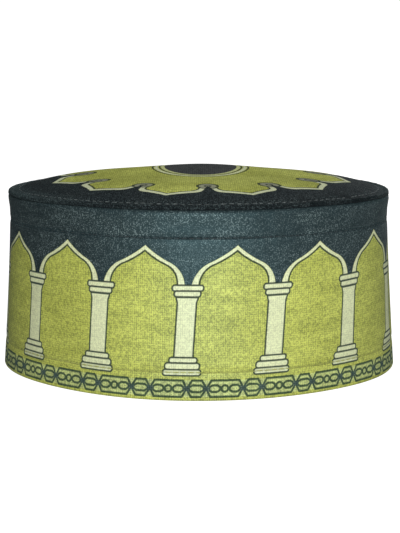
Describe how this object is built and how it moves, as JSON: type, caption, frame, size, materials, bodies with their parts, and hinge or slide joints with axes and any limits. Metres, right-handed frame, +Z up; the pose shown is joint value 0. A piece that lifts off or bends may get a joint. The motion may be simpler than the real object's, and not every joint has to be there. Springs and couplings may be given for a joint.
{
  "type": "printed velvet cap",
  "caption": "Round brimless cap with a stiff, slightly flared side band and a shallow domed crown, open below for the head, printed with an arcade, a chain border and a rosette.",
  "frame": {"origin": "middle of the cap's footprint, on the surface that the hem stands on", "axes": "+Z up through the crown, -Y to the front, +X to the wearer's left"},
  "size_m": [0.1896, 0.1887, 0.0935],
  "materials": {
    "band_velvet": "printed short-pile velvet, matt with a soft sheen",
    "crown_velvet": "printed short-pile velvet, matt with a soft sheen"
  },
  "bodies": {
    "root": {"side_band": "band_velvet", "crown_panel": "crown_velvet"}
  },
  "joints": []
}
